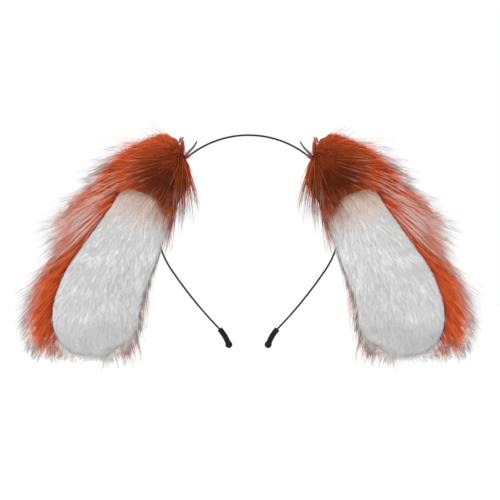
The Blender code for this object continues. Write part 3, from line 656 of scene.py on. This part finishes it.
def hair_flow(roots, rows, angle):
    """The way the pile is brushed: out from the clip over the cap, then down the ear and off its edges."""
    flat = np.stack([roots[:, 0] - ear_low[0], ear_high[2] - roots[:, 2]], axis=-1)
    outwards = ramp(flat[:, :1] - FLOW_CENTRE[0], 1 * MM, 14 * MM) * np.array([1.0, 0.0])
    radial = unit(0.6 * unit(flat - FLOW_CENTRE) + outwards)
    along, across = ear_directions(rows)
    falling = unit((0.75 + 0.5 * ramp(rows, 6, 10))[:, None] * along + 0.6 * np.cos(angle)[:, None] * across)
    share = ramp(rows, 2.5, 7.0)[:, None]
    flow = unit((1 - share) * radial + share * falling)
    return np.stack([flow[:, 0], np.zeros(len(flow)), -flow[:, 1]], axis=-1)


def cap_edge(out):
    """How far down the cap's roots reach: nearly level, but lower in the tuft next to the head."""
    return 31.5 * MM + 12 * MM * (1 - ramp(out, 7 * MM, 15 * MM))


def in_face(t, angle, points):
    """Where the white face takes the fur's place: in front, below the cap, and inside the face's outline."""
    row = ear_row(t)
    flat = np.stack([points[:, 0] - ear_low[0], ear_high[2] - points[:, 2]], axis=-1)
    lateral = ((flat - row[:, :2]) * ear_directions(t)[1]).sum(axis=1)
    inside = (lateral > -row[:, 2] - 0.5 * MM) & (lateral < row[:, 3] - 1.2 * MM)
    return (np.sin(angle) < 0) & inside & (flat[:, 1] > cap_edge(flat[:, 0]))


def keep_clear(paths):
    """Which hairs stay out of the room of the clip and of the band."""
    depth = channel_depth(paths)
    in_band = ((depth > 0.3 * MM) & (paths[..., 1] > -2.6 * MM) & (paths[..., 1] < 8 * MM)).any(axis=1)
    local = in_clip_frame(paths)
    in_clip = (
        (local[..., 0] > -15.5 * MM) & (local[..., 0] < 27 * MM)
        & (local[..., 1] > -9 * MM) & (local[..., 1] < 6.6 * MM) & (np.abs(local[..., 2]) < 7.0 * MM)
    ).any(axis=1)
    before_handles = (
        ((local[..., 0] < -3.5 * MM) & (local[..., 1] > -8 * MM) & (local[..., 1] < 2.5 * MM))
        | ((local[..., 0] < -9.5 * MM) & (local[..., 1] > 2 * MM) & (local[..., 1] < 9 * MM))
    ).any(axis=1)
    out = paths[..., 0] - ear_low[0]
    ceiling = ear_high[2] - 2 * MM + 7 * MM * ramp(out, 8 * MM, 18 * MM)
    above = ((paths[..., 2] > ceiling) & (out < 18 * MM)).any(axis=1)
    room = np.array([17, 10.5, 13]) * MM
    middle, half = np.array(cad_box).mean(axis=0), np.ptp(np.array(cad_box), axis=0) / 2
    astray = (np.abs(paths - middle) > half + room).any(axis=(1, 2))
    return ~(in_band | in_clip | before_handles | above | astray)


def grow(seed, count, weight, lengths, widths, lift, droop, jitter, clump_every, pull, steps, at_bottom=0.5):
    """Paths, widths and tones of hairs rooted all over the backing."""
    rng = np.random.default_rng(seed)
    roots, normals, rows, angle = hair_roots(count, rng, weight)
    flow = hair_flow(roots, rows, angle)
    flow = unit(flow + jitter * rng.normal(size=flow.shape))
    lying = unit(flow - 0.92 * (flow * normals).sum(axis=1, keepdims=True) * normals)
    start = unit(lying + normals * (lift * rng.uniform(0.6, 1.5, count))[:, None])
    sag = np.array([0.0, 0.0, -droop])
    bent = unit(lying + normals * (0.3 * lift) + sag + 0.5 * jitter * rng.normal(size=flow.shape))
    length = rng.uniform(*lengths, count) * MM
    length *= (0.35 + 0.65 * ramp(rows, 0.6, 2.6)) * (1 - (1 - at_bottom) * ramp(rows, 7.8, 9.4))
    paths = hair_paths(roots, start, bent, length, steps)
    centres = rng.choice(count, size=max(8, count // clump_every), replace=False)
    paths = clump(paths, centres, rng.uniform(0.5, 1.0, count) * pull)
    keep = keep_clear(paths)
    thick = np.array(widths) * MM * rng.uniform(0.8, 1.2, (count, 1))
    tone_and_shade = np.clip(0.72 + 0.16 * rng.normal(size=count), 0.0, 1.0)
    # Painted shade: hairs rooted near the cap's corner by the clip and the head are darkened, down to a tenth of
    # their tone.
    painted_shade_centre = np.array([ear_low[0] + 8 * MM, ear_high[2] - 26 * MM])
    shade = ramp(np.linalg.norm(roots[:, [0, 2]] - painted_shade_centre, axis=1), 4 * MM, 24 * MM)
    tone_and_shade = tone_and_shade * (0.1 + 0.9 * shade)
    return paths[keep], thick[keep], tone_and_shade[keep]


def pale_zone(t, angle):
    """How far the fur is pale: along the edge nearest to the head, below the cap, and round the bottom."""
    inner = ramp(-np.cos(angle), 0.0, 0.5) * ramp(t, 3.9, 4.7)
    bottom = np.maximum(ramp(t, 8.5, 9.2) * (1 - ramp(np.cos(angle), 0.35, 0.75)), ramp(t, 8.8, 9.4))
    return np.maximum(inner * (1 - ramp(np.sin(angle), 0.3, 0.7)), bottom)


def open_fur(t, angle, points):
    inside = in_face(t, angle, points)
    hidden = (channel_depth(points) > -0.2 * MM) & (points[:, 1] > -3.6 * MM)
    return np.where(inside | hidden, 0.0, 1.0)


def forward_fur(t, angle, points):
    return open_fur(t, angle, points) * np.where(np.sin(angle) < 0.35, 1 - pale_zone(t, angle), 0.0)


def pale_fur(t, angle, points):
    return open_fur(t, angle, points) * pale_zone(t, angle)


def behind_fur(t, angle, points):
    return open_fur(t, angle, points) * np.where(np.sin(angle) < 0.35, 0.0, 1 - pale_zone(t, angle))


def rust_edge(t, angle, points):
    """Where the long guard hairs stand: all over the back, close along the edges, and few in front."""
    edge = np.exp(-((np.sin(angle) + 0.1) / 0.4) ** 2)
    density = 0.06 + edge + 0.2 * (np.sin(angle) > 0.3)
    return open_fur(t, angle, points) * (1 - pale_zone(t, angle)) * density


# The undercoat's dark root colour is painted shade deep in the pile.
PAINTED_ROOT_SHADE, RUST, ORANGE = (0.30, 0.042, 0.011), (0.60, 0.08, 0.018), (0.93, 0.165, 0.038)
PALE, GREY_TIP, DARK_TIP = (0.80, 0.68, 0.64), (0.22, 0.19, 0.18), (0.035, 0.03, 0.03)
under_finish = hair_finish(
    "undercoat_hair", [(0.0, PAINTED_ROOT_SHADE), (0.4, RUST), (1.0, ORANGE)], 0.12, 1.1, 0.6,
)
guard_finish = hair_finish(
    "guard_hair",
    [(0.0, RUST), (0.3, ORANGE), (0.62, ORANGE), (0.76, PALE), (0.86, GREY_TIP), (1.0, DARK_TIP)],
    0.3, 1.1, 0.5,
)
sweep_finish = hair_finish(
    "sweeping_hair", [(0.0, ORANGE), (0.2, (0.85, 0.45, 0.36)), (1.0, (0.86, 0.68, 0.64))], 0.7, 1.1, 0.5,
)
rim_finish = hair_finish(
    "rim_hair",
    [(0.0, (0.76, 0.71, 0.68)), (0.5, (0.66, 0.61, 0.58)), (0.8, GREY_TIP), (1.0, DARK_TIP)],
    0.8, 1.15, 0.5,
)
down_finish = hair_finish(
    "pale_undercoat_hair", [(0.0, (0.72, 0.69, 0.67)), (1.0, (0.84, 0.82, 0.81))], 0.85, 1.1, 0.6,
)
pile_finish = hair_finish(
    "white_pile_hair", [(0.0, (0.71, 0.71, 0.71)), (1.0, (0.76, 0.76, 0.76))], 0.97, 1.03, 0.8,
)
# Painted reflected light: the pile near the top of the face is peach, as if lit by the orange fur of the cap.
reflection_peach_pile_finish = hair_finish(
    "peach_pile_hair", [(0.0, (0.80, 0.58, 0.47)), (1.0, (0.88, 0.77, 0.69))], 0.9, 1.1, 0.8,
)

undercoat = [
    grow(
        seed, 10000, forward_fur if seed < 13 else behind_fur, (12, 17), (0.5, 0.12), 0.4, 0.15, 0.1, 30, 0.6, 3,
    )
    for seed in (11, 12, 13)
]
down = grow(14, 5000, pale_fur, (6, 10), (0.4, 0.1), 0.4, 0.3, 0.14, 24, 0.5, 3)
guards = grow(21, 5200, rust_edge, (25, 42), (0.28, 0.09), 0.38, 0.12, 0.12, 12, 0.75, 5)


def rim_weight(t, angle, points):
    """The ear's edge: all round the bottom, and the side nearest to the head below the cap."""
    edge = np.exp(-((np.sin(angle) + 0.15) / 0.35) ** 2)
    low = ramp(t, 7.6, 9.4) * (1 - 0.7 * ramp(np.cos(angle), 0.1, 0.7))
    inner = ramp(-np.cos(angle), 0.2, 0.8) * ramp(t, 2.6, 4.2)
    outer = 0.15 * ramp(np.cos(angle), 0.2, 0.8) * ramp(t, 1.0, 3.0)
    return open_fur(t, angle, points) * edge * np.maximum(np.maximum(low, inner), outer)


rims = grow(31, 3000, rim_weight, (11, 21), (0.26, 0.07), 0.3, 0.3, 0.14, 10, 0.7, 4, at_bottom=0.85)


def sweep_weight(t, angle, points):
    """Where the longest pale hairs start: the cap's lower edge on the side away from the head."""
    place = np.exp(-((t - 4.7) / 0.8) ** 2) * ramp(np.cos(angle), 0.2, 0.6)
    return open_fur(t, angle, points) * np.where(np.sin(angle) < 0, 1.0, 0.0) * place


sweeps = grow(41, 420, sweep_weight, (24, 38), (0.22, 0.08), 0.35, 0.5, 0.16, 6, 0.5, 7)

# The white pile, short and lying down the face, thick enough to hide its woven ground.
pile_rng = np.random.default_rng(51)
PILE = 17000
pile_t = pile_rng.uniform(3.6, 10.6, 3 * PILE)
pile_share = pile_rng.uniform(-0.97, 0.97, 3 * PILE)
pile_row = ear_row(pile_t)
spread = (pile_row[:, 2] + pile_row[:, 3]) / (56 * MM)
chosen = np.flatnonzero(pile_rng.random(3 * PILE) < spread)[:PILE]
pile_t, pile_share = pile_t[chosen], pile_share[chosen]
pile_roots = face_points(pile_t, pile_share)
pile_down = unit(pile_roots - face_points(pile_t - 0.05, pile_share))
pile_across = unit(face_points(pile_t, pile_share + 0.02) - pile_roots)
pile_out = unit(np.cross(pile_down, pile_across))
pile_out *= -np.sign(pile_out[:, 1:2])
pile_scatter = 0.12 * pile_rng.normal(size=pile_roots.shape)
pile_lean = unit(pile_down + 0.3 * pile_share[:, None] * pile_across + pile_scatter)
pile_length = pile_rng.uniform(3.5, 6.5, len(pile_t)) * MM
pile_start = unit(pile_lean + 0.1 * pile_out)
pile_end = unit(pile_lean + 0.03 * pile_out)
pile_paths = hair_paths(pile_roots, pile_start, pile_end, pile_length, 2)
pile_widths = np.array([[0.22, 0.08]]) * MM * pile_rng.uniform(0.8, 1.2, (len(pile_t), 1))
pile_tones = np.clip(0.6 + 0.2 * pile_rng.normal(size=len(pile_t)), 0.0, 1.0)
# The pile close under the cap takes the peach finish, which is painted reflected light from the orange cap.
peach = pile_rng.random(len(pile_t)) < 1 - ramp(pile_t, 3.9, 5.3)

for side in ("left", "right"):
    body = side + "_ear"
    for number, (paths, widths, tones) in enumerate(undercoat, start=1):
        hair_piece(f"{side}_undercoat_{number}", side, paths, widths, tones, body, "faux_fur", under_finish)
    hair_piece(side + "_pale_undercoat", side, *down, body, "faux_fur", down_finish)
    hair_piece(side + "_guard_hairs", side, *guards, body, "faux_fur", guard_finish)
    hair_piece(side + "_rim_hairs", side, *rims, body, "faux_fur", rim_finish)
    hair_piece(side + "_sweeping_hairs", side, *sweeps, body, "faux_fur", sweep_finish)
    for name, chosen, finish in (("_white_pile", ~peach, pile_finish), ("_peach_pile", peach, reflection_peach_pile_finish)):
        hairs = (pile_paths[chosen], pile_widths[chosen], pile_tones[chosen])
        hair_piece(side + name, side, *hairs, body, "white_plush", finish)
